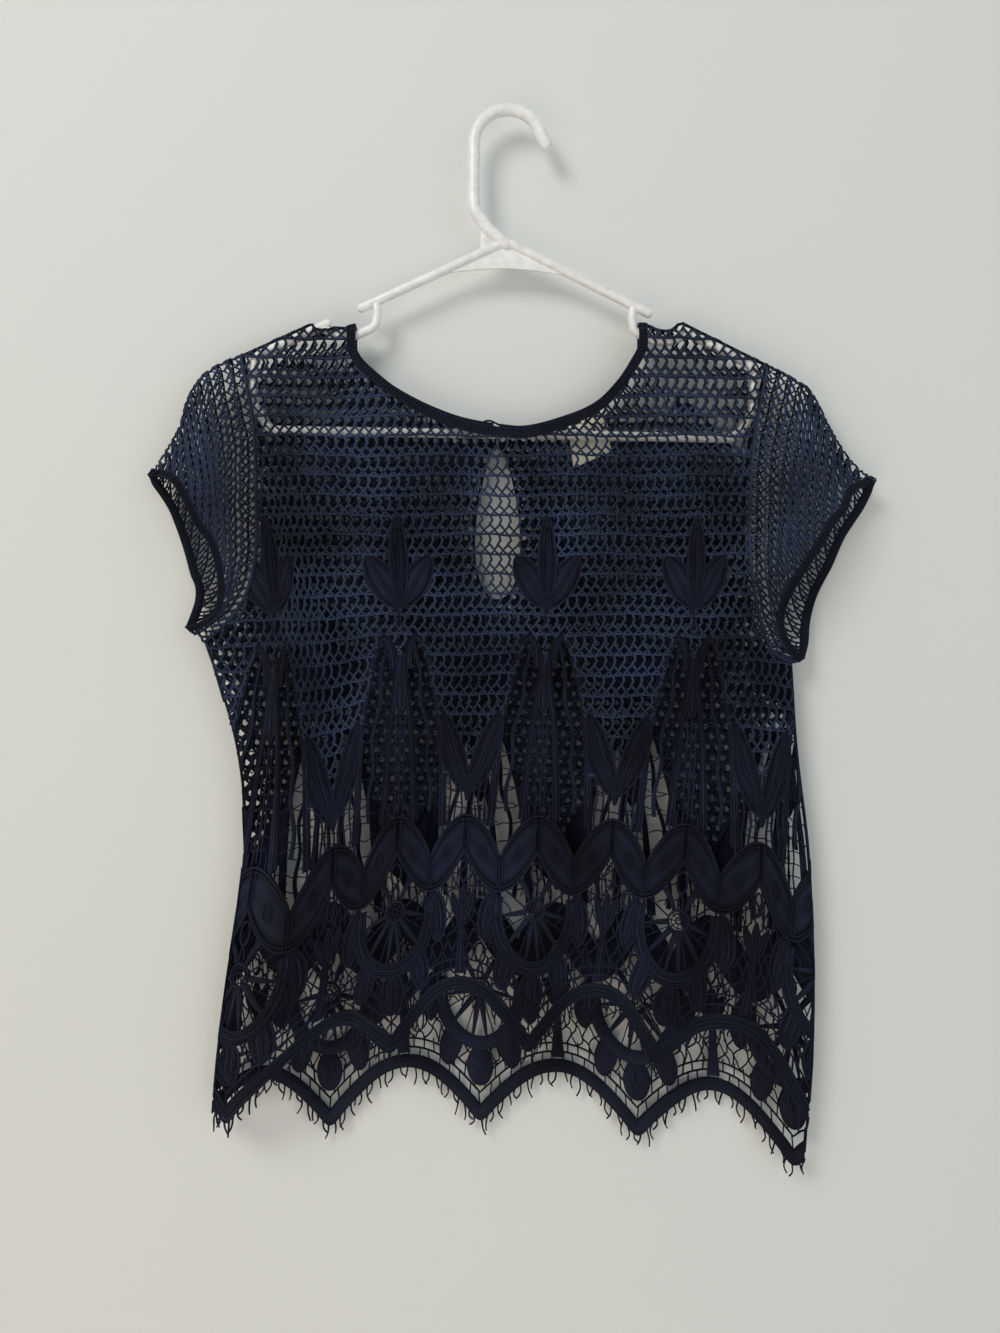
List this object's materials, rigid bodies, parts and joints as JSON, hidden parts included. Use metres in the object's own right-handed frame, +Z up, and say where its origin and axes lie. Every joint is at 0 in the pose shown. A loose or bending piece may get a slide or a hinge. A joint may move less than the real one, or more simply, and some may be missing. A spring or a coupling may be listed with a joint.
{
  "type": "crochet top on a hanger",
  "caption": "Cap-sleeved lace top with a scooped neck, a keyhole back and a scalloped fringed hem, hung on a tubular plastic hanger.",
  "frame": {"origin": "point on the inside of the hanger's hook, at its top, that rests on a nail or rail", "axes": "+Z up, +X to the right of the top's front as seen from in front of it, the front faces -Y"},
  "size_m": [0.5848, 0.0517, 0.8612],
  "materials": {
    "black_lace": "matte cotton lace",
    "black_rib": "matte corded band",
    "white_plastic": "moulded, glossy",
    "cream_label": "woven satin",
    "button_black": "glossy"
  },
  "bodies": {
    "root": {"front_panel": "black_lace", "back_panel": "black_lace", "sleeve_left": "black_lace", "sleeve_right": "black_lace", "cuff_left": "black_rib", "cuff_right": "black_rib", "neck_band": "black_rib", "front_hem": "black_rib", "back_hem": "black_rib", "label": "cream_label", "button": "button_black", "button_loop": "black_rib", "hanger": "white_plastic"}
  },
  "joints": []
}
